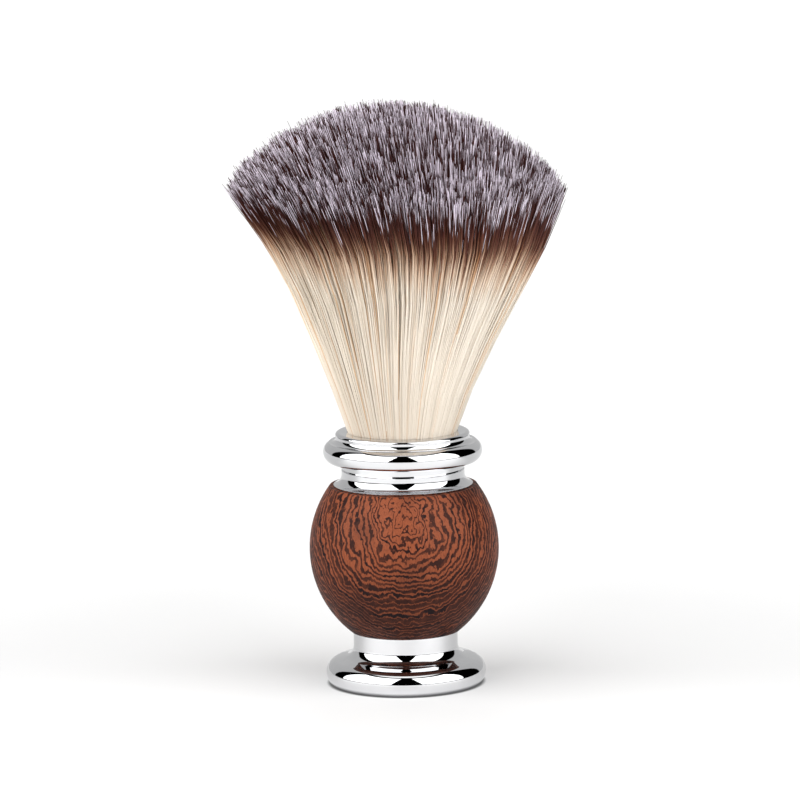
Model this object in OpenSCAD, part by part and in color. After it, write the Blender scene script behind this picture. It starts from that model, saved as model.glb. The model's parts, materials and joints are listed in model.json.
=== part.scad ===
// Shaving brush: a turned wood ball clamped between a chromed foot and a chromed ring by a tie rod,
// with a screw-off head that carries the hair knot. The origin is the middle of the foot's underside.

/* [Hair] */
// Overall height of the brush, to the crown of the hair
brush_h = 111.6; // [108:0.2:116]
// Radius of the hair where it leaves the collar
hair_root_r = 10.3; // [10:0.1:10.3]
// Radius of the widest ring of hair tips
hair_rim_r = 31.2; // [28:0.2:33]
// Height of the widest ring of hair tips
hair_rim_z = 91.2; // [88:0.2:94]

/* [Collar] */
// Height of the collar's mouth
collar_top_z = 48.4; // [48:0.1:49]
// Outer radius of the collar's mouth
collar_mouth_r = 12.75; // [12.6:0.05:12.9]
// Inner radius of the socket that holds the knot
socket_r = 10.45; // [10.4:0.05:10.7]
// Radius of the round bead's section
bead_section_r = 2.1; // [1.9:0.05:2.2]
// Outer radius of the round bead
bead_outer_r = 15.05; // [14.8:0.05:15.4]
// Height of the round bead's middle
bead_z = 44.65; // [44.5:0.05:44.8]

/* [Ring] */
// Height of the joint face where the head screws down on the ring
joint_z = 41.3; // [41.2:0.05:41.4]
// Radius of the ring and of the collar's neck at the joint face
waist_r = 11.65; // [11.5:0.05:11.8]
// Radius of the ring's flared foot, which sits on the wood
ring_flare_r = 13.2; // [13:0.05:13.4]

/* [Wood ball] */
// Largest radius of the ball
ball_r = 17.95; // [17.6:0.05:18.3]
// Radius of the arc that the ball's outline follows
ball_arc_r = 20.4; // [20:0.1:21]
// Height of the ball's widest place
ball_mid_z = 26.0; // [25.8:0.1:26.2]
// Height of the ball's upper face
ball_top_z = 38.1; // [38:0.05:38.2]

/* [Foot] */
// Largest radius of the foot's flange
foot_r = 15.2; // [14.9:0.05:15.6]
// Height of the flange's widest place
foot_mid_z = 2.25; // [2.2:0.05:2.3]
// Radius of the foot's neck
foot_neck_r = 9.9; // [9.7:0.05:10]
// Height of the foot, where the wood sits on its neck
foot_top_z = 10.15; // [10.1:0.05:10.3]

/* [Threads] */
// Nominal radius of the head screw's thread
head_thread_r = 4.0; // [4:0.05:4.1]
// Pitch of the head screw's thread, the rise of the head in one turn
head_pitch = 1.25; // [1:0.25:1.5]
// Nominal radius of the tie rod's thread
rod_r = 3.0; // [2.9:0.05:3]

/* [Hidden] */
$fn = 128;

// Clearances
thread_gap = 0.05;
slip_gap = 0.05;
glue_gap = 0.1;
through = 0.01;

// Knot: stacked from the socket's floor upwards
socket_floor_z = 43.1;
bed_top_z = 44.7;
plug_top_z = 47.1;
binding_top_z = 48.1;
binding_wall = 0.45;
plug_r = socket_r - glue_gap;
binding_r = socket_r - glue_gap;
hair_butt_r = binding_r - binding_wall;
hair_shoulder_r = 27.2;
hair_shoulder_z = 101.2;
hair_flare_power = 1.18;
hair_flare_steps = 10;
hair_crown_steps = 7;

// Collar
lip_r = 0.65;
cove_r = 1.0;
cove_z = collar_top_z - 0.95;
cove_throat_r = collar_mouth_r - 0.1;
neck_fillet_r = 0.35;
joint_chamfer = 0.2;
boss_r = 7.0;
boss_z = 40.5;

// Head screw: a flat round head on the socket's floor
head_screw_head_r = 6.4;
head_screw_head_h = 1.1;
head_screw_slot_w = 1.6;
head_screw_slot_d = 0.6;
head_screw_end_z = 33.0;
head_screw_chamfer = 0.4 * head_pitch;

// Seal ring, captive on the boss under the collar
seal_section_r = 0.8;
seal_mid_r = boss_r + slip_gap + seal_section_r;
seal_mid_z = joint_z - seal_section_r - slip_gap;

// Ring
ring_cove_r = 2.0;
ring_cove_z = 40.3;
ring_cove_sweep = 58;
ring_edge_r = 0.25;
ring_spigot_r = 8.0;
ring_spigot_z = 35.0;
ring_well_r = 9.2;
ring_well_z = 39.4;

// Threaded insert
insert_r = 5.5;
insert_flange_r = 6.6;
insert_flange_h = 0.8;
insert_bottom_z = 25.9;
insert_step_z = 31.4;
insert_slot_w = 1.2;
insert_slot_d = 0.5;

// Wood ball
ball_axis_offset = ball_r - ball_arc_r;
ball_outline_steps = 24;

// Foot
foot_lower_arc_r = 3.3;
foot_shoulder_r = 2.5;
foot_cove_r = 2.27;
foot_cove_z = 7.3;
foot_ogee_sweep = 75;
foot_spigot_r = 6.0;
foot_spigot_h = 1.8;
pad_seat_r = 11.2;
pad_seat_z = 1.3;
pad_face_z = 0.2;
nut_well_r = 7.2;
nut_well_z = 7.2;

// Tie rod and its fasteners, stacked downwards from the well's roof
rod_bottom_z = 1.5;
rod_top_z = 30.6;
rod_chamfer = 0.5;
rod_hole_gap = 0.2;
washer_r = 6.0;
washer_h = 1.2;
spring_washer_r = 5.7;
spring_washer_h = 1.4;
spring_washer_split = 0.8;
nut_flats = 10;
nut_h = 3.0;
nut_chamfer = 0.8;
hex_sides = 6;

// A disc or tube between two heights.
module tube(outer_r, inner_r, z0, z1) {
    translate([0, 0, z0])
        difference() {
            cylinder(r = outer_r, h = z1 - z0);
            if (inner_r > 0)
                translate([0, 0, -through])
                    cylinder(r = inner_r, h = z1 - z0 + 2 * through);
        }
}

// A rectangle in the half-plane that is turned about Z.
module band(r0, r1, z0, z1) {
    translate([r0, z0])
        square([r1 - r0, z1 - z0]);
}

// A round in the half-plane that is turned about Z.
module round_at(mid_r, mid_z, section_r) {
    translate([mid_r, mid_z])
        circle(r = section_r);
}

// A point on an arc, by the angle of its outward normal above the horizontal.
function arc_point(mid_r, mid_z, section_r, angle) =
    [mid_r + section_r * cos(angle), mid_z + section_r * sin(angle)];

// The hair's outline flares from the collar like a trumpet and closes in a low dome.
function flare_point(t) =
    [hair_root_r + (hair_rim_r - hair_root_r) * pow(t, hair_flare_power),
     collar_top_z + (hair_rim_z - collar_top_z) * t];

// The shoulder falls from the rim to the dome, and the dome is an arc of a parabola.
function crown_point(t) =
    [hair_shoulder_r * (1 - t),
     hair_shoulder_z + (brush_h - hair_shoulder_z) * (1 - (1 - t) * (1 - t))];

module hair_bundle() {
    color("blanchedalmond")
        rotate_extrude()
            polygon(concat(
                [[0, plug_top_z], [hair_butt_r, plug_top_z], [hair_butt_r, collar_top_z]],
                [for (i = [0:hair_flare_steps]) flare_point(i / hair_flare_steps)],
                [for (i = [0:hair_crown_steps]) crown_point(i / hair_crown_steps)]));
}

module knot_binding() {
    color("ivory")
        tube(binding_r, hair_butt_r, plug_top_z, binding_top_z);
}

module knot_resin_plug() {
    color("khaki")
        tube(plug_r, 0, bed_top_z, plug_top_z);
}

// The adhesive fills the socket's floor around the screw's head.
module epoxy_bed() {
    color("wheat")
        difference() {
            tube(socket_r, 0, socket_floor_z, bed_top_z);
            translate([0, 0, socket_floor_z - through])
                cylinder(r = head_screw_head_r, h = head_screw_head_h + through);
        }
}

// The collar's outline: a rounded mouth, a cove and a round bead over a short neck.
module collar_outline() {
    bead_mid_r = bead_outer_r - bead_section_r;
    difference() {
        union() {
            band(0, collar_mouth_r - lip_r, joint_z, collar_top_z);
            band(0, collar_mouth_r, cove_z, collar_top_z - lip_r);
            round_at(collar_mouth_r - lip_r, collar_top_z - lip_r, lip_r);
            band(0, bead_mid_r, bead_z - bead_section_r / 2, cove_z);
            band(0, bead_mid_r + cove_r / 2, bead_z, cove_z);
            round_at(bead_mid_r, bead_z, bead_section_r);
        }
        round_at(cove_throat_r + cove_r, cove_z, cove_r);
        band(collar_mouth_r, bead_outer_r, cove_z, collar_top_z);
        band(waist_r, bead_outer_r, 0, bead_z - bead_section_r + neck_fillet_r);
        band(bead_mid_r, bead_outer_r, cove_z - cove_r / 2, cove_z);
        polygon([[waist_r - joint_chamfer, joint_z], [waist_r, joint_z], [waist_r, joint_z + joint_chamfer]]);
    }
}

module collar_cup() {
    color("silver")
        difference() {
            union() {
                rotate_extrude()
                    collar_outline();
                tube(boss_r, 0, boss_z, joint_z + through);
            }
            translate([0, 0, socket_floor_z])
                cylinder(r = socket_r, h = collar_top_z);
            cylinder(r = head_thread_r, h = collar_top_z);
        }
}

// The thread is drawn at its nominal radius.
module head_screw() {
    head_top_z = socket_floor_z + head_screw_head_h;
    color("gainsboro")
        difference() {
            union() {
                tube(head_screw_head_r, 0, socket_floor_z, head_top_z);
                tube(head_thread_r, 0, head_screw_end_z + head_screw_chamfer, socket_floor_z + through);
                translate([0, 0, head_screw_end_z])
                    cylinder(r1 = head_thread_r - head_screw_chamfer, r2 = head_thread_r,
                             h = head_screw_chamfer);
            }
            translate([-head_screw_head_r, -head_screw_slot_w / 2, head_top_z - head_screw_slot_d])
                cube([2 * head_screw_head_r, head_screw_slot_w, head_screw_slot_d + through]);
        }
}

module seal_ring() {
    color("dimgray")
        rotate_extrude()
            round_at(seal_mid_r, seal_mid_z, seal_section_r);
}

// The ring's outline runs down in a cove and out to a thin rounded edge on the wood.
module ring_outline() {
    cove_end = arc_point(waist_r + ring_cove_r, ring_cove_z, ring_cove_r, 180 + ring_cove_sweep);
    difference() {
        union() {
            band(0, waist_r, ball_top_z, joint_z);
            band(0, ring_flare_r - ring_edge_r, ball_top_z, ring_cove_z);
            round_at(ring_flare_r - ring_edge_r, ball_top_z + ring_edge_r, ring_edge_r);
        }
        round_at(waist_r + ring_cove_r, ring_cove_z, ring_cove_r);
        band(waist_r, ring_flare_r, ring_cove_z, joint_z);
        polygon([cove_end, [ring_flare_r, cove_end[1]], [ring_flare_r + 1, ring_cove_z],
                 [waist_r + ring_cove_r, ring_cove_z]]);
        polygon([[waist_r - joint_chamfer, joint_z], [waist_r, joint_z], [waist_r, joint_z - joint_chamfer]]);
    }
}

module ferrule_ring() {
    color("silver")
        difference() {
            union() {
                rotate_extrude()
                    ring_outline();
                tube(ring_spigot_r, 0, ring_spigot_z, ball_top_z + through);
            }
            translate([0, 0, ring_well_z])
                cylinder(r = ring_well_r, h = joint_z);
            cylinder(r = insert_r, h = joint_z);
        }
}

// The brass insert takes the tie rod from below and the head screw from above.
module threaded_insert() {
    flange_top_z = ring_well_z + insert_flange_h;
    color("goldenrod")
        difference() {
            union() {
                tube(insert_r, 0, insert_bottom_z, ring_well_z + through);
                tube(insert_flange_r, 0, ring_well_z, flange_top_z);
            }
            translate([0, 0, insert_step_z])
                cylinder(r = head_thread_r + thread_gap, h = joint_z);
            cylinder(r = rod_r + thread_gap, h = joint_z);
            translate([-insert_flange_r, -insert_slot_w / 2, flange_top_z - insert_slot_d])
                cube([2 * insert_flange_r, insert_slot_w, insert_slot_d + through]);
        }
}

// The ball's outline is an arc whose middle lies past the axis, so the ball is a little barrel-shaped.
function ball_point(z) =
    [ball_axis_offset + sqrt(ball_arc_r * ball_arc_r - (z - ball_mid_z) * (z - ball_mid_z)), z];

module wood_ball() {
    ball_step = (ball_top_z - foot_top_z) / ball_outline_steps;
    color("sienna")
        difference() {
            rotate_extrude()
                polygon(concat(
                    [[0, foot_top_z]],
                    [for (i = [0:ball_outline_steps]) ball_point(foot_top_z + i * ball_step)],
                    [[0, ball_top_z]]));
            translate([0, 0, ring_spigot_z])
                cylinder(r = ring_spigot_r, h = ball_top_z);
            translate([0, 0, insert_bottom_z])
                cylinder(r = insert_r, h = ball_top_z);
            cylinder(r = rod_r + rod_hole_gap, h = ball_top_z);
            cylinder(r = foot_spigot_r, h = foot_top_z + foot_spigot_h);
        }
}

module tie_rod() {
    color("gainsboro") {
        tube(rod_r, 0, rod_bottom_z + rod_chamfer, rod_top_z - rod_chamfer);
        translate([0, 0, rod_bottom_z])
            cylinder(r1 = rod_r - rod_chamfer, r2 = rod_r, h = rod_chamfer);
        translate([0, 0, rod_top_z - rod_chamfer])
            cylinder(r1 = rod_r, r2 = rod_r - rod_chamfer, h = rod_chamfer);
    }
}

// The foot's outline: a rounded flange that rises in an ogee to the neck.
module foot_outline() {
    shoulder_end = arc_point(foot_r - foot_shoulder_r, foot_mid_z, foot_shoulder_r, foot_ogee_sweep);
    cove_end = arc_point(foot_neck_r + foot_cove_r, foot_cove_z, foot_cove_r, 180 + foot_ogee_sweep);
    difference() {
        union() {
            band(0, foot_neck_r, 0, foot_top_z);
            polygon([[0, foot_mid_z], [foot_r - foot_shoulder_r, foot_mid_z], shoulder_end, cove_end,
                     [foot_neck_r, foot_cove_z], [0, foot_cove_z]]);
            intersection() {
                round_at(foot_r - foot_shoulder_r, foot_mid_z, foot_shoulder_r);
                band(foot_neck_r, foot_r, foot_mid_z, foot_cove_z);
            }
            intersection() {
                round_at(foot_r - foot_lower_arc_r, foot_mid_z, foot_lower_arc_r);
                band(0, foot_r, 0, foot_mid_z);
            }
            band(0, foot_r - foot_lower_arc_r, 0, foot_mid_z);
        }
        round_at(foot_neck_r + foot_cove_r, foot_cove_z, foot_cove_r);
    }
}

module foot() {
    color("silver")
        difference() {
            union() {
                rotate_extrude()
                    foot_outline();
                tube(foot_spigot_r, 0, foot_top_z - through, foot_top_z + foot_spigot_h);
            }
            translate([0, 0, -through])
                cylinder(r = pad_seat_r, h = pad_seat_z + through);
            cylinder(r = nut_well_r, h = nut_well_z);
            cylinder(r = rod_r + rod_hole_gap, h = ball_top_z);
        }
}

module flat_washer() {
    color("gainsboro")
        tube(washer_r, rod_r + rod_hole_gap, nut_well_z - washer_h, nut_well_z);
}

// A split washer, pressed flat under the nut.
module spring_washer() {
    top_z = nut_well_z - washer_h;
    color("gray")
        difference() {
            tube(spring_washer_r, rod_r + rod_hole_gap, top_z - spring_washer_h, top_z);
            translate([rod_r, -spring_washer_split / 2, top_z - 2 * spring_washer_h])
                cube([spring_washer_r, spring_washer_split, 3 * spring_washer_h]);
        }
}

module foot_nut() {
    top_z = nut_well_z - washer_h - spring_washer_h;
    corner_r = nut_flats / 2 / cos(180 / hex_sides);
    color("gainsboro")
        difference() {
            intersection() {
                translate([0, 0, top_z - nut_h])
                    cylinder(r = corner_r, h = nut_h, $fn = hex_sides);
                rotate_extrude()
                    polygon([[0, top_z - nut_h], [nut_flats / 2, top_z - nut_h],
                             [corner_r, top_z - nut_h + nut_chamfer / 2], [corner_r, top_z], [0, top_z]]);
            }
            cylinder(r = rod_r + thread_gap, h = nut_well_z);
        }
}

module foot_pad() {
    color("black")
        tube(pad_seat_r - slip_gap, 0, pad_face_z, pad_seat_z);
}

hair_bundle();
knot_binding();
knot_resin_plug();
epoxy_bed();
collar_cup();
head_screw();
seal_ring();
ferrule_ring();
threaded_insert();
wood_ball();
tie_rod();
foot();
flat_washer();
spring_washer();
foot_nut();
foot_pad();
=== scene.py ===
"""The looks of a shaving brush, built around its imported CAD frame.

The hair is made of real fibres by Geometry Nodes around a dense core, the ball is turned again from its
own arc so that it takes a smooth lacquer, and the screw and the rod get their helical threads. The other
CAD nodes keep their meshes and get procedural finishes. Sizes are in millimetres until mesh points are
made, and every place comes from the frame's boxes or from a named field.
"""

from __future__ import annotations

import json
import logging
import math
from dataclasses import dataclass, field
from enum import Enum
from typing import Dict, List, Optional, Sequence, Tuple, Union

import bmesh
import bpy
from mathutils import Matrix, Vector


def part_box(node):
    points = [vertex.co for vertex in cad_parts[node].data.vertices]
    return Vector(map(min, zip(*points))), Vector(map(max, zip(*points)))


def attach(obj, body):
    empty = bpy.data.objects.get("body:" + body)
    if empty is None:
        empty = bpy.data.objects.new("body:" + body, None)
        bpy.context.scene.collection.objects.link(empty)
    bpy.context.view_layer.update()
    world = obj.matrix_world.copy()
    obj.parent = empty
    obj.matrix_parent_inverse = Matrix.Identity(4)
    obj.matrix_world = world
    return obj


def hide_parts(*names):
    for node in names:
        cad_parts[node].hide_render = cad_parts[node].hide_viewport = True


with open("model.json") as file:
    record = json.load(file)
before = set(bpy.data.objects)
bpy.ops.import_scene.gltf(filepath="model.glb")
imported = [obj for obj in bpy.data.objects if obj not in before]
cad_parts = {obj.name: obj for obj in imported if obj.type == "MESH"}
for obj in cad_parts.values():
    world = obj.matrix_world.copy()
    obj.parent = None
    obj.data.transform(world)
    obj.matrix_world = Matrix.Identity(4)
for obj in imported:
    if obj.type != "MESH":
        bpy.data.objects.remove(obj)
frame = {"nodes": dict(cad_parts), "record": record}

LOG = logging.getLogger("shaving_brush")
MM = 0.001
METRE = 1000.0
FULL_TURN = 2 * math.pi

Point2 = Tuple[float, float]
Colour = Tuple[float, float, float]
Value = Union["Sock", float, int, bool, str, Sequence[float], bpy.types.ID]


# ---- Node trees ----


class Sock:
    """An output socket whose arithmetic adds Math nodes to its own tree."""

    def __init__(self, sheet: "Sheet", socket: bpy.types.NodeSocket) -> None:
        """Wraps an output socket of a tree."""
        self.sheet = sheet
        self.socket = socket

    def side(self, name: str) -> "Sock":
        """Another output of the same node, by name."""
        return Sock(self.sheet, self.sheet.pick(self.socket.node.outputs, name))

    def __add__(self, other: Value) -> "Sock":
        """The sum."""
        return self.sheet.math("ADD", self, other)

    __radd__ = __add__

    def __sub__(self, other: Value) -> "Sock":
        """The difference."""
        return self.sheet.math("SUBTRACT", self, other)

    def __rsub__(self, other: Value) -> "Sock":
        """The difference, with the number first."""
        return self.sheet.math("SUBTRACT", other, self)

    def __mul__(self, other: Value) -> "Sock":
        """The product."""
        return self.sheet.math("MULTIPLY", self, other)

    __rmul__ = __mul__

    def __truediv__(self, other: Value) -> "Sock":
        """The quotient."""
        return self.sheet.math("DIVIDE", self, other)

    def __rtruediv__(self, other: Value) -> "Sock":
        """The quotient, with the number first."""
        return self.sheet.math("DIVIDE", other, self)

    def __pow__(self, other: Value) -> "Sock":
        """The power."""
        return self.sheet.math("POWER", self, other)

    def __neg__(self) -> "Sock":
        """The negative."""
        return self.sheet.math("MULTIPLY", self, -1.0)

    def __abs__(self) -> "Sock":
        """The size without its sign."""
        return self.sheet.math("ABSOLUTE", self)


class Sheet:
    """A shader or geometry tree that is written by calls."""

    def __init__(self, tree: bpy.types.NodeTree) -> None:
        """Starts on a node tree, which is emptied."""
        self.tree = tree
        self.tree.nodes.clear()

    @staticmethod
    def pick(sockets: Sequence[bpy.types.NodeSocket], key: Union[int, str]) -> bpy.types.NodeSocket:
        """The socket with a number, a name in use, or an identifier.

        Args:
            sockets: a node's inputs or outputs.
            key: the number, name or identifier.

        Returns:
            The first socket that fits.
        """
        if isinstance(key, int):
            return sockets[key]
        found = [s for s in sockets if s.name == key and s.enabled]
        return (found or [s for s in sockets if s.identifier == key])[0]

    def add(
        self,
        kind: str,
        settings: Optional[Dict[str, object]] = None,
        inputs: Optional[Dict[Union[int, str], Value]] = None,
        output: Union[int, str] = 0,
    ) -> Sock:
        """Adds any node.

        Args:
            kind: the node's type.
            settings: its properties, set first; "stops" holds a colour ramp's stops.
            inputs: what goes into its sockets, as values or as links.
            output: which output to return.

        Returns:
            The chosen output, or the node's first input where it has no output.
        """
        node = self.tree.nodes.new(kind)
        for name, value in (settings or {}).items():
            if name == "stops":
                self._set_stops(node.color_ramp, value)
            else:
                setattr(node, name, value)
        for key, value in (inputs or {}).items():
            self.feed(self.pick(node.inputs, key), value)
        sockets = node.outputs if len(node.outputs) else node.inputs
        return Sock(self, self.pick(sockets, output))

    @staticmethod
    def _set_stops(ramp: bpy.types.ColorRamp, stops: Sequence[Tuple[float, Colour]]) -> None:
        """Gives a colour ramp its stops, as (place, colour) pairs in rising order."""
        while len(ramp.elements) > 1:
            ramp.elements.remove(ramp.elements[-1])
        for number, (place, colour) in enumerate(stops):
            element = ramp.elements[0] if number == 0 else ramp.elements.new(place)
            element.position = place
            element.color = (*colour, 1.0)

    def feed(self, socket: bpy.types.NodeSocket, value: Value) -> None:
        """Links or sets an input socket.

        Args:
            socket: the input.
            value: another node's output, or a plain value.
        """
        if isinstance(value, Sock):
            self.tree.links.new(value.socket, socket)
        elif socket.type == "RGBA" and len(value) == 3:
            socket.default_value = (*value, 1.0)
        else:
            socket.default_value = value

    def math(self, operation: str, *values: Value) -> Sock:
        """A Math node on one to three values."""
        return self.add("ShaderNodeMath", {"operation": operation}, dict(enumerate(values)))

    def vector(self, operation: str, *values: Value, output: Union[int, str] = 0) -> Sock:
        """A Vector Math node on one to three vectors."""
        return self.add("ShaderNodeVectorMath", {"operation": operation}, dict(enumerate(values)), output)

    def scaled(self, vector: Value, factor: Value) -> Sock:
        """A vector times a number."""
        return self.add("ShaderNodeVectorMath", {"operation": "SCALE"}, {0: vector, "Scale": factor})

    def join(self, x: Value, y: Value, z: Value) -> Sock:
        """A vector from three numbers."""
        return self.add("ShaderNodeCombineXYZ", None, {0: x, 1: y, 2: z})

    def split(self, vector: Value) -> Tuple[Sock, Sock, Sock]:
        """A vector's three numbers."""
        first = self.add("ShaderNodeSeparateXYZ", None, {0: vector}, "X")
        return first, first.side("Y"), first.side("Z")

    def ease(self, value: Value, low: Value, high: Value) -> Sock:
        """A smooth step from 0 at low to 1 at high."""
        return self.add(
            "ShaderNodeMapRange",
            {"interpolation_type": "SMOOTHSTEP"},
            {"Value": value, "From Min": low, "From Max": high},
        )

    def noise(
        self, vector: Value, scale: float, detail: float = 2.0, rough: float = 0.5, warp: float = 0.0
    ) -> Sock:
        """A noise texture's value, from about 0.25 to 0.75 around a half."""
        values = {"Vector": vector, "Scale": scale, "Detail": detail, "Roughness": rough, "Distortion": warp}
        return self.add("ShaderNodeTexNoise", None, values)

    def random(self, cell: Value) -> Sock:
        """A fixed random number from 0 to 1 for a whole number."""
        return self.add("ShaderNodeTexWhiteNoise", {"noise_dimensions": "1D"}, {"W": cell})

    def tint(self, factor: Value, first: Value, second: Value, blend: str = "MIX") -> Sock:
        """Two colours mixed by a Mix node; the factor is how much of the second there is."""
        return self.add(
            "ShaderNodeMix",
            {"data_type": "RGBA", "blend_type": blend},
            {"Factor_Float": factor, "A_Color": first, "B_Color": second},
            "Result_Color",
        )


class ShaderSheet(Sheet):
    """The tree of one material."""

    def __init__(self, name: str) -> None:
        """Makes the material.

        Args:
            name: the material's name.
        """
        self.material = bpy.data.materials.new(name)
        self.material.use_nodes = True
        super().__init__(self.material.node_tree)

    def place(self, scale: float = METRE, shift: Sequence[float] = (0, 0, 0)) -> Sock:
        """Pattern coordinates: the object's own, scaled and then shifted; in millimetres as a rule."""
        spot = self.add("ShaderNodeTexCoord", None, None, "Object")
        scales = (scale, scale, scale)
        return self.add("ShaderNodeMapping", None, {"Vector": spot, "Location": shift, "Scale": scales})

    def attribute(self, name: str) -> Sock:
        """A number that the mesh holds at its points."""
        return self.add("ShaderNodeAttribute", {"attribute_name": name}, None, "Fac")

    def bump(self, height: Sock, distance: float, strength: float = 1.0) -> Sock:
        """A normal from a height; the distance is in millimetres."""
        values = {"Height": height, "Distance": distance * MM, "Strength": strength}
        return self.add("ShaderNodeBump", None, values)

    def surface(self, **inputs: Value) -> bpy.types.Material:
        """Ends the tree in a Principled shader.

        Args:
            inputs: the shader's sockets, with their spaces written as underscores.

        Returns:
            The finished material.
        """
        values = {name.replace("_", " "): value for name, value in inputs.items()}
        shader = self.add("ShaderNodeBsdfPrincipled", None, values)
        self.add("ShaderNodeOutputMaterial", None, {"Surface": shader})
        return self.material


class GeometrySheet(Sheet):
    """A Geometry Nodes tree that makes one kind of piece."""

    def __init__(self, name: str, sizes: Dict[str, str]) -> None:
        """Makes the tree with its named inputs.

        Args:
            name: the tree's name.
            sizes: each input's name and the type of its socket.
        """
        super().__init__(bpy.data.node_groups.new(name, "GeometryNodeTree"))
        self.tree.interface.new_socket("Geometry", in_out="OUTPUT", socket_type="NodeSocketGeometry")
        self.keys = {
            label: self.tree.interface.new_socket(label, in_out="INPUT", socket_type=kind).identifier
            for label, kind in sizes.items()
        }
        self.group = self.tree.nodes.new("NodeGroupInput")

    def given(self, name: str) -> Sock:
        """The value of a named input."""
        return Sock(self, self.pick(self.group.outputs, name))

    def chance(self, low: Value, high: Value, cell: Value, seed: Value) -> Sock:
        """A random number for a whole number, from a fixed seed."""
        values = {"Min": low, "Max": high, "ID": cell, "Seed": seed}
        return self.add("FunctionNodeRandomValue", {"data_type": "FLOAT"}, values, "Value")

    def keep(self, geometry: Sock, name: str, value: Sock) -> Sock:
        """Stores a number at every point, for the material to read."""
        values = {"Geometry": geometry, "Name": name, "Value": value}
        return self.add("GeometryNodeStoreNamedAttribute", {"data_type": "FLOAT", "domain": "POINT"}, values)

    def rods(self, curves: Sock, radius: Sock, sides: int) -> Sock:
        """Curves turned into closed rods of a varying radius."""
        section = self.add(
            "GeometryNodeCurvePrimitiveCircle", {"mode": "RADIUS"}, {"Resolution": sides, "Radius": 1.0}
        )
        parts = {"Curve": curves, "Profile Curve": section, "Scale": radius, "Fill Caps": True}
        solid = self.add("GeometryNodeCurveToMesh", None, parts)
        return self.add("GeometryNodeSetShadeSmooth", None, {0: solid, "Shade Smooth": True})

    def close(self, geometry: Sock) -> None:
        """Ends the tree in Realize Instances and Set Material."""
        real = self.add("GeometryNodeRealizeInstances", None, {"Geometry": geometry})
        dressed = {"Geometry": real, "Material": self.given("Material")}
        done = self.add("GeometryNodeSetMaterial", None, dressed)
        self.add("NodeGroupOutput", None, {"Geometry": done})

    def piece(self, name: str, values: Dict[str, Value]) -> bpy.types.Object:
        """Runs the tree and keeps its result as a plain mesh.

        Args:
            name: the piece's name.
            values: what goes into each named input.

        Returns:
            The piece, at the origin and without a modifier.
        """
        seedbed = bpy.data.objects.new(name + "_seedbed", bpy.data.meshes.new(name + "_seedbed"))
        bpy.context.scene.collection.objects.link(seedbed)
        modifier = seedbed.modifiers.new(name, "NODES")
        modifier.node_group = self.tree
        for label, value in values.items():
            modifier[self.keys[label]] = value
        bpy.context.view_layer.update()
        ready = seedbed.evaluated_get(bpy.context.evaluated_depsgraph_get())
        mesh = bpy.data.meshes.new_from_object(ready)
        mesh.name = name
        seedbed.modifiers.remove(modifier)
        bpy.data.objects.remove(seedbed)
        return put_in_scene(name, mesh)


# ---- Meshes ----


def put_in_scene(name: str, mesh: bpy.types.Mesh) -> bpy.types.Object:
    """Makes an object of a mesh, at the origin."""
    piece = bpy.data.objects.new(name, mesh)
    bpy.context.scene.collection.objects.link(piece)
    return piece


def settle(name: str, work: bmesh.types.BMesh, crease_degrees: Optional[float] = None) -> bpy.types.Object:
    """Turns a worked mesh into an object.

    Args:
        name: the name of the mesh and the object.
        work: the worked mesh, which is freed.
        crease_degrees: the angle from which edges stay sharp, or None to leave the faces flat.

    Returns:
        The object, at the origin.
    """
    mesh = bpy.data.meshes.new(name)
    work.to_mesh(mesh)
    work.free()
    if crease_degrees is not None:
        mesh.shade_smooth()
        mesh.set_sharp_from_angle(angle=math.radians(crease_degrees))
    return put_in_scene(name, mesh)


def hand_over(
    piece: bpy.types.Object,
    body: str,
    replaced: Sequence[str] = (),
    material: Optional[bpy.types.Material] = None,
) -> None:
    """Gives a finished piece its body and the node that it stands for.

    Args:
        piece: the finished piece.
        body: the CAD body that it moves with.
        replaced: the CAD nodes that it stands for.
        material: its material, where the mesh has none yet.
    """
    if material is not None:
        piece.data.materials.clear()
        piece.data.materials.append(material)
    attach(piece, body)
    if replaced:
        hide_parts(*replaced)
    LOG.info("%s: %d faces, rides on %s", piece.name, len(piece.data.polygons), body)


def arc(mid: Point2, radius: float, start: float, end: float, steps: int) -> List[Point2]:
    """Points along an arc in the half-plane, both ends included; 0 degrees is the outward direction."""
    angles = [math.radians(start + (end - start) * i / steps) for i in range(steps + 1)]
    return [(mid[0] + radius * math.cos(a), mid[1] + radius * math.sin(a)) for a in angles]


def band(work: bmesh.types.BMesh, lower: List[bmesh.types.BMVert], upper: List[bmesh.types.BMVert]) -> None:
    """Joins two rings, either of which may be a point on the axis."""
    sides = max(len(lower), len(upper))
    for i in range(sides):
        j = (i + 1) % sides
        below = [lower[i % len(lower)], lower[j % len(lower)]]
        corners = below + [upper[j % len(upper)], upper[i % len(upper)]]
        distinct = list(dict.fromkeys(corners))
        if len(distinct) > 2:
            work.faces.new(distinct)


@dataclass
class Turning:
    """A closed outline in the half-plane, turned about Z."""

    name: str
    outline: List[Point2]
    sides: int = 192
    crease_degrees: float = 30.0

    def build(self) -> bpy.types.Object:
        """Makes the turned piece.

        Returns:
            The piece, with its poles closed and its faces outward.
        """
        work = bmesh.new()
        rings: List[List[bmesh.types.BMVert]] = []
        for radius, height in self.outline:
            if radius < 1e-6:
                rings.append([work.verts.new((0, 0, height * MM))])
                continue
            spots = [FULL_TURN * i / self.sides for i in range(self.sides)]
            points = [(radius * MM * math.cos(a), radius * MM * math.sin(a), height * MM) for a in spots]
            rings.append([work.verts.new(p) for p in points])
        for lower, upper in zip(rings, rings[1:] + rings[:1]):
            band(work, lower, upper)
        bmesh.ops.recalc_face_normals(work, faces=work.faces)
        return settle(self.name, work, self.crease_degrees)


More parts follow.
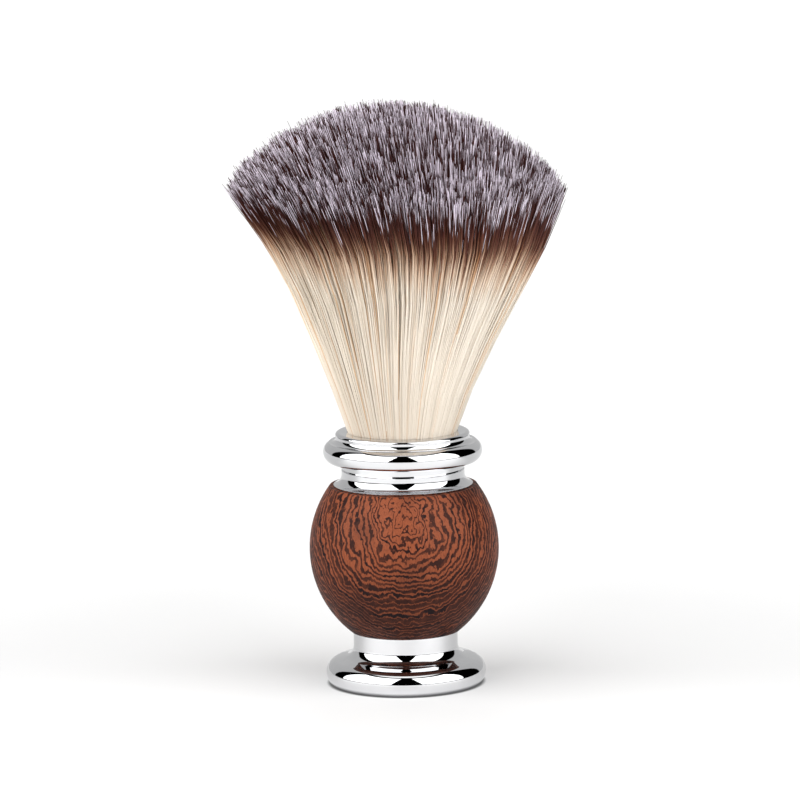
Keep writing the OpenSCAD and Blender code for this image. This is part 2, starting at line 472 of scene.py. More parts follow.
@dataclass
class ThreadedRod:
    """A round rod whose radius follows a helical thread."""

    name: str
    radius: float
    pitch: float
    bottom: float
    top: float
    plain_from: float
    chamfer: float
    sides: int = 48
    steps_per_pitch: int = 10
    crease_degrees: float = 50.0
    depth_share: float = 0.54
    crest_share: float = 0.12
    flank_share: float = 0.76

    def radius_at(self, height: float, turn: float) -> float:
        """The rod's radius at a height and at a share of a turn."""
        depth = self.depth_share * self.pitch
        phase = (height / self.pitch - turn) % 1.0
        groove = min(1.0, max(0.0, (abs(phase - 0.5) * 2 - self.crest_share) / self.flank_share))
        fade = min(1.0, max(0.0, (self.plain_from - height) / self.pitch))
        cut = self.radius - depth * groove * fade
        slope_bottom = self.radius - self.chamfer + (height - self.bottom)
        return min(cut, slope_bottom, self.radius - self.chamfer + (self.top - height))

    def build(self) -> bpy.types.Object:
        """Makes the rod with flat ends."""
        rows = math.ceil((self.top - self.bottom) / self.pitch * self.steps_per_pitch)
        work = bmesh.new()
        rings = []
        for row in range(rows + 1):
            height = self.bottom + (self.top - self.bottom) * row / rows
            ring = []
            for side in range(self.sides):
                turn = side / self.sides
                radius = self.radius_at(height, turn) * MM
                angle = FULL_TURN * turn
                ring.append(work.verts.new((radius * math.cos(angle), radius * math.sin(angle), height * MM)))
            rings.append(ring)
        for lower, upper in zip(rings, rings[1:]):
            band(work, lower, upper)
        work.faces.new(list(reversed(rings[0])))
        work.faces.new(rings[-1])
        return settle(self.name, work, self.crease_degrees)


# ---- Finishes ----


@dataclass(frozen=True)
class TurnedMetal:
    """A plated or turned metal, with faint polishing marks and handling marks in its gloss."""

    name: str
    colour: Colour
    shade: Colour
    rough_low: float
    rough_high: float
    mark_height: float = 0.0
    marks_per_mm: float = 6.0

    def material(self) -> bpy.types.Material:
        """Makes the material."""
        sheet = ShaderSheet(self.name)
        spot = sheet.place()
        x, y, z = sheet.split(spot)
        around = sheet.vector("LENGTH", sheet.join(x, y, 0.0), output="Value")
        lathe = sheet.noise(sheet.join(around, z, 0.0), self.marks_per_mm, 3.0, 0.6)
        patches = sheet.noise(spot, 0.16, 3.0, 0.55)
        gloss = sheet.ease(patches * 0.7 + lathe * 0.3, 0.32, 0.68)
        rough = gloss * (self.rough_high - self.rough_low) + self.rough_low
        colour = sheet.tint(sheet.ease(patches, 0.35, 0.7), self.colour, self.shade)
        marks = {"Normal": sheet.bump(lathe, self.mark_height)} if self.mark_height > 0 else {}
        return sheet.surface(Base_Color=colour, Metallic=1.0, Roughness=rough, **marks)


@dataclass(frozen=True)
class FiguredWood:
    """Red-brown hardwood with near-black wavy growth lines, pores and a satin lacquer."""

    name: str = "figured_wood"
    eye_height: float = 36.0
    line_spacing: float = 0.82
    stretch_up: float = 0.4
    stretch_down: float = 1.15
    light: Colour = (0.270, 0.072, 0.030)
    warm: Colour = (0.175, 0.045, 0.020)
    dark: Colour = (0.066, 0.020, 0.012)
    line: Colour = (0.006, 0.003, 0.004)

    def material(self) -> bpy.types.Material:
        """Makes the material."""
        sheet = ShaderSheet(self.name)
        spot = sheet.place(shift=(0.0, 0.0, -self.eye_height))
        x, y, z = sheet.split(spot)
        above = sheet.math("MAXIMUM", z, 0.0) * self.stretch_up
        rise = above + sheet.math("MINIMUM", z, 0.0) * self.stretch_down
        ring = (sheet.vector("LENGTH", sheet.join(x, 0.0, rise), output="Value") + y) * 0.5

        def figure(across: float, up: float, scale: float, detail: float, rough: float = 0.5) -> Sock:
            """Noise that is stretched along the grain."""
            return sheet.noise(sheet.vector("MULTIPLY", spot, (across, across, up)), scale, detail, rough)

        slow = (figure(1.0, 0.7, 0.085, 1.0) - 0.5) * 5.0
        wave = (figure(1.3, 0.8, 0.42, 2.0) - 0.5) * 2.1
        ragged = (figure(1.6, 0.8, 2.2, 2.0, 0.6) - 0.5) * 0.5
        wilder = 1.0 + 1.3 * (1.0 - sheet.ease(ring, -8.0, -2.0))
        growth = (ring + slow + wave * wilder + ragged) / self.line_spacing
        cell = sheet.math("FLOOR", growth)
        inside = sheet.math("FRACT", growth)
        # darker towards the bottom: partly painted shade of the downward-facing lower side, partly darker end
        # grain; the same mask also widens the growth lines
        low = sheet.ease(-z, 8.0, 22.0)
        outer = (0.45 + 0.55 * sheet.ease(ring, -7.0, 0.0)) * (1.0 - 0.45 * sheet.ease(y, 0.0, 12.0))
        width = (sheet.random(cell) * 0.20 + 0.26 + low * 0.08) * outer
        weight = sheet.random(cell + 57.0) * 0.2 + 0.8
        edge = abs(inside - 0.5)
        patch = sheet.ease(sheet.noise(spot, 0.75, 2.0, 0.6), 0.36, 0.56)
        lines = (1.0 - sheet.ease(edge, width * 0.7, width)) * weight * (patch * 0.2 + 0.8)
        fibre = figure(1.0, 0.12, 6.5, 3.0, 0.65)
        pores = sheet.ease(figure(1.0, 0.2, 4.3, 2.0, 0.6), 0.6, 0.72)
        shade = sheet.noise(spot, 0.11, 2.0, 0.5)
        base = sheet.tint(sheet.ease(fibre, 0.3, 0.7), self.warm, self.light)
        base = sheet.tint(sheet.ease(shade, 0.42, 0.72) * 0.55, base, self.dark)
        # painted shade mixed with darker end grain towards the bottom
        base = sheet.tint(low * 0.45, base, self.dark)
        base = sheet.tint(pores * 0.5, base, self.line)
        colour = sheet.tint(lines, base, self.line)
        relief = 1.0 - lines * 0.6 - pores * 0.8
        rough = 0.42 + fibre * 0.14 + lines * 0.08
        return sheet.surface(
            Base_Color=colour,
            Roughness=rough,
            Specular_IOR_Level=0.08,
            Coat_Weight=0.03,
            Coat_Roughness=0.2,
            Normal=sheet.bump(relief, 0.035, 0.7),
        )


class HairPart(Enum):
    """Which part of the knot a hair material is for."""

    FIBRE = "fibre"
    CORE = "core"


@dataclass(frozen=True)
class Hair:
    """Synthetic hair that runs from cream roots through a dark band to pale grey tips."""

    name: str
    part: HairPart
    tip: Colour = (0.96, 0.87, 0.985)
    tip_dark: Colour = (0.040, 0.012, 0.012)
    band: Colour = (0.074, 0.021, 0.016)
    chestnut: Colour = (0.125, 0.040, 0.025)
    rust: Colour = (0.20, 0.088, 0.055)
    tan: Colour = (0.48, 0.29, 0.19)
    straw: Colour = (0.85, 0.67, 0.51)
    cream: Colour = (0.965, 0.875, 0.755)
    copper_line: Colour = (0.80, 0.60, 0.42)
    painted_root_shade: Colour = (0.88, 0.87, 0.86)
    painted_buried_shade: Colour = (0.18, 0.12, 0.11)
    reach: float = 30.0
    dark_tip_depth: float = 3.8

    def material(self) -> bpy.types.Material:
        """Makes the material."""
        sheet = ShaderSheet(self.name)
        depth = sheet.attribute("from_tip")
        tone = sheet.attribute("tone")
        if self.part is HairPart.CORE:
            x, y, _ = sheet.split(sheet.place())
            angle = sheet.math("ARCTAN2", y, x)
            flow = sheet.join(sheet.math("COSINE", angle), sheet.math("SINE", angle), depth * 0.004)
            streak = sheet.noise(flow, 46.0, 3.0, 0.7)
            depth = depth + (streak - 0.5) * 6.0
            tone = sheet.ease(streak, 0.3, 0.7)
        stops = [
            (0.0, self.band), (4.4, self.band), (6.2, self.chestnut), (8.2, self.rust),
            (10.4, self.tan), (13.6, self.straw), (18.5, self.cream),
        ]
        below = sheet.add(
            "ShaderNodeValToRGB",
            {"stops": [(place / self.reach, colour) for place, colour in stops]},
            {"Fac": depth / self.reach},
            "Color",
        )
        copper = sheet.tint(1.0, below, self.copper_line, "MULTIPLY")
        below = sheet.tint(sheet.ease(tone, 0.10, 0.32), copper, below)
        tip = sheet.tint(sheet.ease(tone, 0.42, 0.66), self.tip_dark, self.tip)
        reached = depth - sheet.ease(tone, 0.5, 0.95) * self.dark_tip_depth
        colour = sheet.tint(sheet.ease(reached, 0.9, 2.3), tip, below)
        # painted shade: the hair is darkened towards its roots, next to the collar
        painted_root_shaded = sheet.tint(1.0, colour, self.painted_root_shade, "MULTIPLY")
        colour = sheet.tint(sheet.ease(depth, 30.0, 46.0), colour, painted_root_shaded)
        if self.part is HairPart.CORE:
            # painted shade: the core is darkened where it lies nearest the tips and shows in the gaps between
            # them, as if in the fibres' shadow
            painted_gap_shade_mask = 1.0 - sheet.ease(depth, 6.0, 12.0)
            colour = sheet.tint(painted_gap_shade_mask * 0.7, colour, self.painted_buried_shade, "MULTIPLY")
        return sheet.surface(Base_Color=colour, Roughness=0.42 + tone * 0.12, Specular_IOR_Level=0.16)


@dataclass(frozen=True)
class SoftMatter:
    """A matt or glossy soft material: rubber, felt, resin, adhesive or thread."""

    name: str
    colour: Colour
    shade: Colour
    rough: float
    grain: float
    grain_height: float
    sheen: float = 0.0

    def material(self) -> bpy.types.Material:
        """Makes the material."""
        sheet = ShaderSheet(self.name)
        spot = sheet.place()
        fine = sheet.noise(spot, self.grain, 4.0, 0.65)
        patches = sheet.noise(spot, 0.25, 2.0)
        colour = sheet.tint(sheet.ease(fine * 0.6 + patches * 0.4, 0.35, 0.65), self.colour, self.shade)
        return sheet.surface(
            Base_Color=colour,
            Roughness=self.rough + (fine - 0.5) * 0.2,
            Sheen_Weight=self.sheen,
            Normal=sheet.bump(fine, self.grain_height),
        )


def all_finishes() -> Dict[str, bpy.types.Material]:
    """The finish of every slot of the record, by slot."""
    chrome = TurnedMetal("polished_chrome", (0.66, 0.663, 0.675), (0.63, 0.633, 0.645), 0.015, 0.04)
    zinc = TurnedMetal("zinc_steel", (0.62, 0.64, 0.68), (0.52, 0.54, 0.60), 0.22, 0.42, 0.01)
    spring = TurnedMetal("spring_steel", (0.20, 0.20, 0.22), (0.12, 0.11, 0.11), 0.3, 0.5, 0.01)
    brass = TurnedMetal("insert_brass", (0.72, 0.52, 0.22), (0.60, 0.41, 0.16), 0.18, 0.34, 0.012)
    rubber = SoftMatter("seal_rubber", (0.018, 0.018, 0.019), (0.03, 0.03, 0.031), 0.55, 5.0, 0.01)
    felt = SoftMatter("pad_felt", (0.016, 0.016, 0.018), (0.045, 0.044, 0.047), 0.95, 4.5, 0.12, 0.5)
    resin = SoftMatter("knot_resin", (0.50, 0.36, 0.16), (0.62, 0.48, 0.25), 0.25, 1.2, 0.01)
    epoxy = SoftMatter("epoxy", (0.60, 0.52, 0.31), (0.70, 0.62, 0.42), 0.22, 1.6, 0.01)
    thread = SoftMatter("binding_thread", (0.62, 0.54, 0.42), (0.78, 0.71, 0.58), 0.8, 9.0, 0.03, 0.3)
    made = [chrome, zinc, spring, brass, rubber, felt, resin, epoxy, thread, FiguredWood()]
    finishes = {finish.name: finish.material() for finish in made}
    finishes["hair"] = Hair("hair", HairPart.FIBRE).material()
    finishes["hair_core"] = Hair("hair_core", HairPart.CORE).material()
    return finishes


# ---- Sub-assemblies ----


ROW_SIZES = ("inner_share", "outer_share", "shown_length", "thickness", "jitter", "lift")
KNOT_SIZES = (
    "root_radius", "root_height", "rim_radius", "crown_height", "dome_fall", "shoulder_fall",
    "shoulder_power", "flare_power", "tip_reach", "wisp_size", "wisp_pull", "belly", "tip_lean",
    "ragged_cut", "crown_tilt", "band_tilt", "swell_height", "clump_depth",
)


def label_of(name: str) -> str:
    """A field's name as the label of a tree's input."""
    return name.replace("_", " ").title()


@dataclass
class FibreRow:
    """One lot of fibres: how many there are, where they stand and how they are cut."""

    name: str
    count: int
    points: int
    inner_share: float
    outer_share: float
    shown_length: float
    seed: int
    thickness: float = 0.19
    jitter: float = 1.5
    lift: float = 0.0


@dataclass
class HairKnot:
    """The knot: a dense core, the fibres of the flank and of the dome, and the winding at the root."""

    finishes: Dict[str, bpy.types.Material]
    body: str = "head"
    slot: str = "hair"
    root_radius: float = 9.85
    root_height: float = 47.2
    rim_radius: float = 31.4
    crown_height: float = 110.7
    dome_fall: float = 0.0136
    shoulder_fall: float = 2.9
    shoulder_power: float = 10.0
    flare_power: float = 1.13
    tip_reach: float = 12.0
    core_inset: float = 1.4
    core_depth: float = 9.0
    ragged_cut: float = 6.0
    crown_tilt: float = 0.022
    band_tilt: float = 0.065
    wisp_size: float = 0.55
    wisp_pull: float = 0.4
    belly: float = 1.25
    tip_lean: float = 0.5
    swell_height: float = 3.0
    clump_depth: float = 3.5
    thread_radius: float = 0.11
    winding_turns: float = 4.0
    root_inset: float = 0.15
    rim_inset: float = 0.6
    rows: List[FibreRow] = field(
        default_factory=lambda: [
            FibreRow("hair_flank_1", 6200, 6, 0.88, 1.0, 0.0, 11, 0.19, 1.1),
            FibreRow("hair_flank_2", 6200, 6, 0.88, 1.0, 0.0, 12, 0.21, 1.6),
            FibreRow("hair_dome_1", 9000, 4, 0.0, 0.93, 15.0, 21, 0.22),
            FibreRow("hair_dome_2", 9000, 4, 0.0, 0.93, 15.0, 22, 0.20),
            FibreRow("hair_strays", 500, 5, 0.0, 1.0, 20.0, 31, 0.17, 2.0, 1.0),
        ]
    )

    def tip_height(self, radius: float) -> float:
        """The height of the dome of tips at a radius."""
        shoulder = self.shoulder_fall * (radius / self.rim_radius) ** self.shoulder_power
        return self.crown_height - self.dome_fall * radius * radius - shoulder

    def build(self) -> None:
        """Makes every piece of the knot."""
        self._core()
        tree = self._fibre_tree()
        for row in self.rows:
            self._fibres(tree, row)
        self._winding()

    def _core(self) -> None:
        """The dense middle of the knot, a little inside the flank and well below the tips."""
        rim = self.rim_radius - self.core_inset
        root = self.root_radius - self.root_inset
        steps = 40
        flank = []
        for i in range(steps + 1):
            share = i / steps
            radius = root + (rim - self.root_radius - self.rim_inset) * share**self.flare_power
            height = self.root_height + (self.tip_height(rim) - self.root_height) * share
            if height > self.tip_height(rim) - self.core_depth:
                break
            flank.append((radius, height))
        edge = flank[-1][0]
        inward = [edge * (1 - i / steps) for i in range(1, steps + 1)]
        dome = [(radius, self.tip_height(radius + rim - edge) - self.core_depth) for radius in inward]
        outline = [(0.0, self.root_height)] + flank + dome
        core = Turning("hair_core", outline, sides=160, crease_degrees=180.0).build()
        self._mark_core(core)
        hand_over(core, self.body, ["hair_bundle"], self.finishes["hair_core"])

    def _mark_core(self, core: bpy.types.Object) -> None:
        """Gives the core its distance from the tips, which the hair's colour follows."""
        depth = core.data.attributes.new("from_tip", "FLOAT", "POINT")
        tone = core.data.attributes.new("tone", "FLOAT", "POINT")
        for vertex in core.data.vertices:
            radius = math.hypot(vertex.co.x, vertex.co.y) / MM
            height = vertex.co.z / MM
            depth.data[vertex.index].value = self.depth_at(radius, height)
            tone.data[vertex.index].value = 0.5
            along = (height - self.root_height) / (self.crown_height - self.root_height)
            vertex.co.x += (self.belly * math.sin(math.pi * along * along) - self.tip_lean * along**6) * MM

    def depth_at(self, radius: float, height: float) -> float:
        """How far a place in the knot is from the tip of its fibre.

        Args:
            radius: the place's radius.
            height: the place's height.

        Returns:
            The distance along the fibre to its tip.
        """
        low, high = 0.0, 1.0
        for _ in range(30):
            share = (low + high) / 2
            tip_radius = share * self.rim_radius
            tip = self.tip_height(tip_radius)
            along = min(1.0, max(0.0, (height - self.root_height) / (tip - self.root_height)))
            root = share * self.root_radius
            here = root + (tip_radius - root) * along**self.flare_power
            low, high = (share, high) if here < radius else (low, share)
        tip_radius = low * self.rim_radius
        tip = self.tip_height(tip_radius)
        length = math.hypot(tip - self.root_height, tip_radius - low * self.root_radius)
        return max(0.0, (tip - height) / (tip - self.root_height)) * length

    def _fibre_tree(self) -> GeometrySheet:
        """The tree that plants fibres on the knot's flare and dome. Its sizes are in millimetres."""
        sizes = {label: "NodeSocketInt" for label in ("Fibres", "Points per Fibre", "Seed")}
        sizes.update({label_of(name): "NodeSocketFloat" for name in ROW_SIZES + KNOT_SIZES})
        sizes["Material"] = "NodeSocketMaterial"
        s = GeometrySheet("plant_fibres", sizes)
        get = s.given
        index = s.add("GeometryNodeInputIndex")
        fibre = s.math("FLOOR", (index + 0.5) / get("Points per Fibre"))
        step = (index - fibre * get("Points per Fibre")) / (get("Points per Fibre") - 1.0)

        def chance(low: Value, high: Value, offset: int) -> Sock:
            """A random number for each fibre."""
            return s.chance(low, high, fibre, get("Seed") * 16.0 + float(offset))

        inner, outer = get("Inner Share"), get("Outer Share")
        share = s.math("SQRT", chance(inner * inner, outer * outer, 1))
        angle = chance(0.0, FULL_TURN, 2)
        side = s.join(s.math("COSINE", angle), s.math("SINE", angle), 0.0)
        tip_radius = share * get("Rim Radius")
        tip_flat = s.scaled(side, tip_radius)

        sag = get("Dome Fall") * tip_radius * tip_radius
        shoulder = get("Shoulder Fall") * share ** get("Shoulder Power")
        swell = (s.noise(tip_flat, 0.22, 1.0) - 0.5) * get("Swell Height")
        across, _, _ = s.split(tip_flat)
        level = get("Crown Height") - sag - shoulder - across * get("Crown Tilt")
        tip_height = level + swell + chance(0.0, get("Lift"), 4)
        rise = tip_height - get("Root Height")
        root_radius = share * get("Root Radius")
        length = s.math("SQRT", rise * rise + (tip_radius - root_radius) ** 2.0)
        whole = s.math("COMPARE", get("Shown Length"), 0.0, 0.001)
        start = (1.0 - get("Shown Length") / length) * (1.0 - whole)
        end = 1.0 - get("Ragged Cut") * chance(-0.08, 1.0, 3) * chance(0.0, 1.0, 10) / length
        along = start + (end - start) * step
        from_tip = (end - along) * length

        cells = s.add(
            "ShaderNodeTexVoronoi",
            {"voronoi_dimensions": "2D"},
            {"Vector": s.scaled(tip_flat, 1.0 / get("Wisp Size")), "Scale": 1.0},
            "Position",
        )
        pull = s.vector("SUBTRACT", s.scaled(cells, get("Wisp Size")), tip_flat)
        gather = 1.0 - s.ease(from_tip, 0.0, get("Tip Reach"))
        drawn = s.scaled(pull, gather * get("Wisp Pull") * chance(0.25, 1.0, 5))
        stray_angle = chance(0.0, FULL_TURN, 6)
        stray = s.join(s.math("COSINE", stray_angle), s.math("SINE", stray_angle), 0.0)
        wander = s.scaled(stray, (along ** 3.0) * get("Jitter") * s.math("SQRT", chance(0.0, 1.0, 7)))

        radius = root_radius + (tip_radius - root_radius) * along ** get("Flare Power")
        flat = s.vector("ADD", s.scaled(side, radius), s.vector("ADD", drawn, wander))
        belly = s.math("SINE", along * along * math.pi) * get("Belly")
        lean = belly - (along ** 6.0) * get("Tip Lean")
        place = s.vector("ADD", flat, s.join(lean, 0.0, get("Root Height") + rise * along))

        points = s.add("GeometryNodePoints", None, {"Count": get("Fibres") * get("Points per Fibre")})
        placed = s.add("GeometryNodeSetPosition", None, {"Geometry": points, "Position": s.scaled(place, MM)})
        slope = across * get("Band Tilt") * s.ease(from_tip, 2.0, 6.0)
        clump = (s.noise(tip_flat, 0.55, 2.0) - 0.5) * get("Clump Depth") - slope
        placed = s.keep(placed, "from_tip", s.math("MAXIMUM", from_tip + chance(-1.5, 1.5, 8) + clump, 0.0))
        shared = s.add("ShaderNodeTexWhiteNoise", {"noise_dimensions": "3D"}, {"Vector": cells})
        placed = s.keep(placed, "tone", shared * 0.5 + chance(0.0, 0.5, 9))
        placed = s.keep(placed, "girth", get("Thickness") * (0.42 + 0.58 * s.ease(from_tip, 0.0, 4.0)))
        curves = s.add("GeometryNodePointsToCurves", None, {"Points": placed, "Curve Group ID": fibre})
        kept = {"Name": "girth"}
        girth = s.add("GeometryNodeInputNamedAttribute", {"data_type": "FLOAT"}, kept, "Attribute")
        s.close(s.rods(curves, girth * (0.5 * MM), 3))
        return s

    def _fibres(self, tree: GeometrySheet, row: FibreRow) -> None:
        """Plants one lot of fibres."""
        values = {"Fibres": row.count, "Points per Fibre": row.points, "Seed": row.seed}
        values.update({label_of(name): getattr(row, name) for name in ROW_SIZES})
        values.update({label_of(name): getattr(self, name) for name in KNOT_SIZES})
        values["Material"] = self.finishes["hair"]
        hand_over(tree.piece(row.name, values), self.body)

    def _winding(self) -> None:
        """The thread that is wound round the butt of the knot, in place of its plain CAD tube."""
        low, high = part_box("knot_binding")
        thread = self.thread_radius
        sizes = {label: "NodeSocketFloat" for label in ("Turns", "Radius", "Thread Radius", "Bottom", "Top")}
        s = GeometrySheet("wind_thread", {**sizes, "Material": "NodeSocketMaterial"})
        spiral = s.add(
            "GeometryNodeCurveSpiral",
            None,
            {"Resolution": 64, "Rotations": s.given("Turns"), "Start Radius": s.given("Radius"),
             "End Radius": s.given("Radius"), "Height": s.given("Top") - s.given("Bottom")},
        )
        offset = s.join(0.0, 0.0, s.given("Bottom"))
        raised = s.add("GeometryNodeSetPosition", None, {"Geometry": spiral, "Offset": offset})
        s.close(s.rods(raised, s.given("Thread Radius"), 8))
        values = {
            "Turns": self.winding_turns, "Radius": high.x - thread * MM, "Thread Radius": thread * MM,
            "Bottom": low.z + thread * MM, "Top": high.z - thread * MM,
            "Material": self.finishes["binding_thread"],
        }
        hand_over(s.piece("wound_binding", values), self.body, ["knot_binding"])


@dataclass
class Collar:
    """The collar's hidden hardware: the head screw with its real thread."""

    finishes: Dict[str, bpy.types.Material]
    pitch: float = 1.25
    chamfer: float = 0.5
    socket_floor: float = 43.1
    slot_width: float = 1.6
    slot_depth: float = 0.6
    plain_length: float = 2.2
    screw_radius: float = 4.0
    head_bevel: float = 0.15

    def build(self) -> None:
        """Makes the head screw."""
        low, high = (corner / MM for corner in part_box("head_screw"))
        rod = ThreadedRod(
            "head_screw_thread", self.screw_radius, self.pitch, low.z, self.socket_floor,
            self.socket_floor - self.plain_length, self.chamfer,
        )
        screw = rod.build()
        head = self._head(high.x, self.socket_floor, high.z)
        merged = bmesh.new()
        merged.from_mesh(screw.data)
        merged.from_mesh(head.data)
        merged.to_mesh(screw.data)
        merged.free()
        bpy.data.objects.remove(head)
        hand_over(screw, "head", ["head_screw"], self.finishes["zinc_steel"])

    def _head(self, radius: float, bottom: float, top: float) -> bpy.types.Object:
        """The screw's flat slotted head."""
        bevel = self.head_bevel
        outline = [(0.0, bottom), (radius - bevel, bottom), (radius, bottom + bevel), (radius, top - bevel),
                   (radius - bevel, top), (0.0, top)]
        head = Turning("head_screw_head", outline, sides=64).build()
        work = bmesh.new()
        bmesh.ops.create_cube(work, size=1.0)
        size = Vector((2.4 * radius, self.slot_width, 2 * self.slot_depth)) * MM
        bmesh.ops.transform(work, matrix=Matrix.Diagonal(size.to_4d()), verts=work.verts)
        bmesh.ops.translate(work, vec=(0, 0, top * MM), verts=work.verts)
        cutter = settle("slot_cutter", work)
        cut = head.modifiers.new("slot", "BOOLEAN")
        cut.operation = "DIFFERENCE"
        cut.object = cutter
        ready = head.evaluated_get(bpy.context.evaluated_depsgraph_get())
        slotted = bpy.data.meshes.new_from_object(ready)
        head.modifiers.remove(cut)
        head.data = slotted
        bpy.data.objects.remove(cutter)
        return head


@dataclass
class Handle:
    """The handle's pieces that Blender makes again: the ball, the tie rod and the felt pad."""

    finishes: Dict[str, bpy.types.Material]
    body: str = "handle"
    arc_radius: float = 20.4
    arc_middle: float = 26.0
    arc_steps: int = 72
    rod_pitch: float = 1.0
    rod_chamfer: float = 0.5
    bore_gap: float = 0.2
    felt_round: float = 0.35
    felt_dish: float = 0.12
    widest: float = 17.95
    insert_bore: float = 5.5
    ring_bore: float = 8.0
    foot_bore: float = 6.0

    def build(self) -> None:
        """Makes every piece."""
        self._ball()
        self._tie_rod()
        self._felt_pad()

    def _ball(self) -> None:
        """The ball, turned from the same arc as its CAD node, with its bores."""
        low, high = (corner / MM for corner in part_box("wood_ball"))
        axis = self.widest - self.arc_radius
        reach = self.arc_radius
        start = math.degrees(math.asin((low.z - self.arc_middle) / reach))
        end = math.degrees(math.asin((high.z - self.arc_middle) / reach))
        outer = arc((axis, self.arc_middle), reach, start, end, self.arc_steps)
        rod = (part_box("tie_rod")[1] / MM).x + self.bore_gap
        insert_low = (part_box("threaded_insert")[0] / MM).z
        ring_low = (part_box("ferrule_ring")[0] / MM).z
        foot_top = (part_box("foot")[1] / MM).z
        inner = [(self.ring_bore, high.z), (self.ring_bore, ring_low), (self.insert_bore, ring_low),
                 (self.insert_bore, insert_low), (rod, insert_low), (rod, foot_top),
                 (self.foot_bore, foot_top), (self.foot_bore, low.z)]
        ball = Turning("turned_ball", outer + inner, sides=224, crease_degrees=40.0).build()
        hand_over(ball, self.body, ["wood_ball"], self.finishes["figured_wood"])

    def _tie_rod(self) -> None:
        """The tie rod with its thread."""
        low, high = (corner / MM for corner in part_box("tie_rod"))
        rod = ThreadedRod(
            "threaded_tie_rod", high.x, self.rod_pitch, low.z, high.z, high.z + 1, self.rod_chamfer
        ).build()
        hand_over(rod, self.body, ["tie_rod"], self.finishes["zinc_steel"])

    def _felt_pad(self) -> None:
        """The felt disc, with a soft lower edge and a slightly hollow face."""
        low, high = (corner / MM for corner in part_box("foot_pad"))
        radius = high.x
        soft = self.felt_round
        dish = [(radius * i / 4, low.z + self.felt_dish * (1 - i / 4)) for i in range(4)]
        lower = arc((radius - soft, low.z + soft), soft, -90, 0, 8)
        outline = dish + lower + [(radius, high.z), (0.0, high.z)]
        pad = Turning("felt_pad", outline, sides=128).build()
        hand_over(pad, self.body, ["foot_pad"], self.finishes["pad_felt"])


@dataclass
class Plating:
    """The CAD nodes that keep their meshes and only take a finish."""

    finishes: Dict[str, bpy.types.Material]

    def dress(self, nodes: Dict[str, bpy.types.Object], record: Dict[str, object]) -> None:
        """Gives each shown CAD node the finish of its slot.

        Args:
            nodes: the frame's nodes, by name.
            record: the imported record, which says each node's slot.
        """
        slots = {part["node"]: part["material_slot"] for part in record["subparts"]}
        for name, node in nodes.items():
            if node.hide_render:
                continue
            node.data.materials.clear()
            node.data.materials.append(self.finishes[slots[name]])
            LOG.info("%s keeps its mesh and takes %s", name, slots[name])


# ---- Studio ----


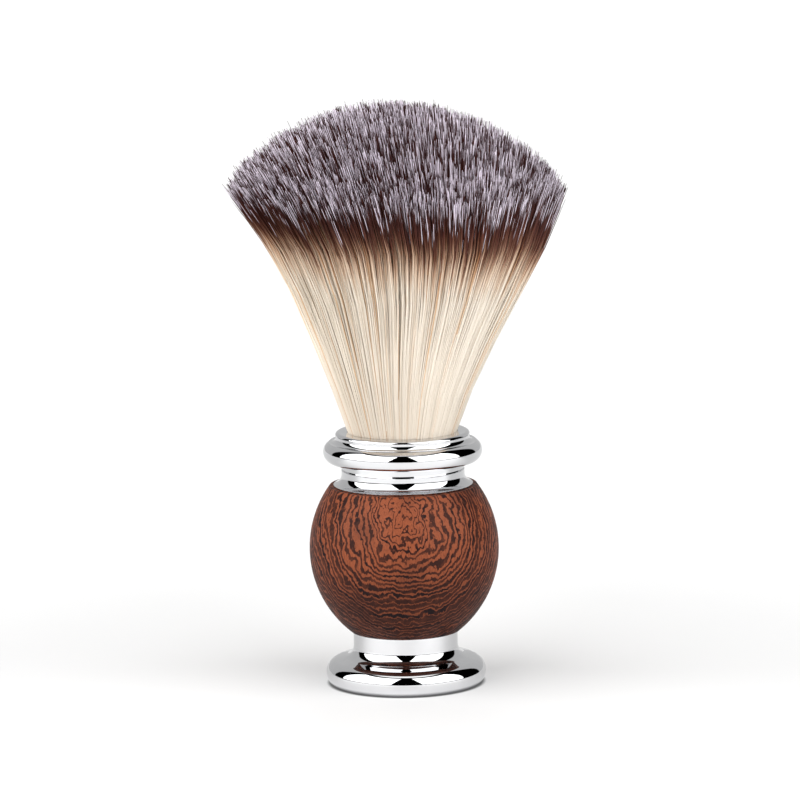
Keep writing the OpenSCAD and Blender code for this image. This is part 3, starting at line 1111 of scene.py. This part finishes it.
@dataclass
class Studio:
    """A white table between two tall softboxes, with a white backdrop and a soft overhead light."""

    distance: float = 860.0
    elevation_degrees: float = 9.0
    aim_height: float = 54.25
    aim_side: float = -0.34
    roll_degrees: float = 0.95
    lens: float = 205.0
    floor_size: float = 8.0
    floor_seen: float = 0.77
    # painted light at the front and painted shade at the back of the table, as the metal reflects it
    reflected_front_painted_light: float = 0.98
    reflected_back_painted_shade: float = 0.62
    floor_bounce: float = 0.62
    # radii of the painted contact shadow round the foot
    painted_shadow_full: float = 14.4
    painted_shadow_end: float = 15.4
    box_low: float = 3.0
    box_high: float = 56.0
    left_end: float = 102.0
    right_end: float = 89.0
    left_dark_end: float = 123.0
    right_dark_end: float = 129.0
    gap_low: float = 0.40
    gap_high: float = 0.18
    box_strength: float = 2.9
    backdrop_strength: float = 0.6
    overhead_strength: float = 1.6
    overhead_from: float = 62.0
    overhead_full: float = 70.0
    fill_strength: float = 0.72

    def build(self) -> None:
        """Makes the camera, the table and the light."""
        self._camera()
        self._floor()
        self._light()

    def _camera(self) -> None:
        """The camera, in front of the brush and a little above it."""
        data = bpy.data.cameras.new("camera")
        data.lens = self.lens
        data.sensor_width = 36.0
        data.clip_start, data.clip_end = 0.01, 50.0
        camera = bpy.data.objects.new("camera", data)
        bpy.context.scene.collection.objects.link(camera)
        lift = math.radians(self.elevation_degrees)
        back = Vector((0.0, -math.cos(lift), math.sin(lift)))
        turn = (-back).to_track_quat("-Z", "Y").to_matrix().to_4x4()
        roll = Matrix.Rotation(math.radians(-self.roll_degrees), 4, "Z")
        aim = Vector((self.aim_side, 0.0, self.aim_height)) * MM
        camera.matrix_world = Matrix.Translation(aim + back * self.distance * MM) @ turn @ roll
        bpy.context.scene.camera = camera
        bpy.context.scene.view_settings.view_transform = "Standard"
        LOG.info("camera at %.0f mm, %.1f degrees up", self.distance, self.elevation_degrees)

    def _floor(self) -> None:
        """The pale table top, with a painted contact shadow round the foot and painted light in its
        reflections, brighter at the front and darker at the back.
        """
        half = self.floor_size / 2
        mesh = bpy.data.meshes.new("table_top")
        corners = [(-half, -half, 0), (half, -half, 0), (half, half, 0), (-half, half, 0)]
        mesh.from_pydata(corners, [], [(0, 1, 2, 3)])
        table = put_in_scene("table_top", mesh)
        sheet = ShaderSheet("table_paint")
        spot = sheet.place(1.0)
        mottle = sheet.noise(spot, 40.0, 2.0) * 0.01
        _, depth, _ = sheet.split(spot)
        away = sheet.vector("LENGTH", spot, output="Value")
        # painted contact shadow: the table is darkened in a ring round the foot, down to a fifth of its
        # brightness under it
        painted_contact_shadow = 0.2 + 0.8 * sheet.ease(away, self.painted_shadow_full * MM, self.painted_shadow_end * MM)
        path = sheet.add("ShaderNodeLightPath", None, None, "Is Diffuse Ray")
        # painted light in reflections: to glossy rays the table is brighter at the front and darker at the
        # back, for the falloff of the softboxes' light
        painted_reflection_falloff = self.reflected_front_painted_light + sheet.ease(depth, -0.04, 0.05) * (self.reflected_back_painted_shade - self.reflected_front_painted_light)
        glossy = path.side("Is Glossy Ray")
        plain = self.floor_seen + path * (self.floor_bounce - self.floor_seen)
        pale = (plain + glossy * (painted_reflection_falloff - plain) - mottle) * painted_contact_shadow
        colour = sheet.join(pale, pale, pale)
        mesh.materials.append(sheet.surface(Base_Color=colour, Roughness=0.6, Specular_IOR_Level=0.2))

    def _light(self) -> None:
        """The studio as a world whose brightness depends on the direction alone."""
        world = bpy.data.worlds.new("studio")
        bpy.context.scene.world = world
        world.use_nodes = True
        s = Sheet(world.node_tree)
        x, y, z = s.split(s.add("ShaderNodeTexCoord", None, None, "Generated"))
        flat = s.math("SQRT", x * x + y * y)
        height = s.math("ARCTAN2", z, flat) * (180 / math.pi)
        swing = s.math("ARCTAN2", abs(x), -y) * (180 / math.pi)
        is_left = s.math("LESS_THAN", x, 0.0)
        is_right = 1.0 - is_left
        box_end = is_left * self.left_end + is_right * self.right_end
        dark_end = is_left * self.left_dark_end + is_right * self.right_dark_end
        rise = height / self.box_high
        gap = self.gap_low + rise * (self.gap_high - self.gap_low)
        slant = abs(x) / s.math("MAXIMUM", -y, 0.0001)
        opened = s.ease(slant, gap, gap + 0.03)
        capped = 1.0 - s.ease(height, self.box_high, self.box_high + 2.0)
        level = s.ease(height, self.box_low, self.box_low + 1.0) * capped
        boxes = opened * level * (1.0 - s.ease(swing, box_end, box_end + 2.0))
        overhead = s.ease(height, self.overhead_from, self.overhead_full)
        backdrop = s.ease(swing, dark_end, dark_end + 3.0) * (1.0 - overhead)
        light = boxes * self.box_strength + backdrop * self.backdrop_strength
        light = light + overhead * self.overhead_strength
        seen = s.add("ShaderNodeLightPath", None, None, "Is Camera Ray")
        frontal = s.ease(-y, -0.2, 0.6) * s.ease(height, -2.0, 4.0)
        fill = seen.side("Is Diffuse Ray") * frontal * self.fill_strength
        shown = seen + (1.0 - seen) * (light + fill)
        glow = s.add("ShaderNodeBackground", None, {"Color": (1.0, 1.0, 1.0), "Strength": shown})
        s.add("ShaderNodeOutputWorld", None, {"Surface": glow})


def main() -> None:
    """Builds the studio, every sub-assembly and the finishes, in order."""
    logging.basicConfig(level=logging.INFO, format="%(name)s: %(message)s")
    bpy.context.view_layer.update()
    Studio().build()
    finishes = all_finishes()
    HairKnot(finishes).build()
    Collar(finishes).build()
    Handle(finishes).build()
    Plating(finishes).dress(frame["nodes"], frame["record"])


if __name__ == "__main__":
    main()
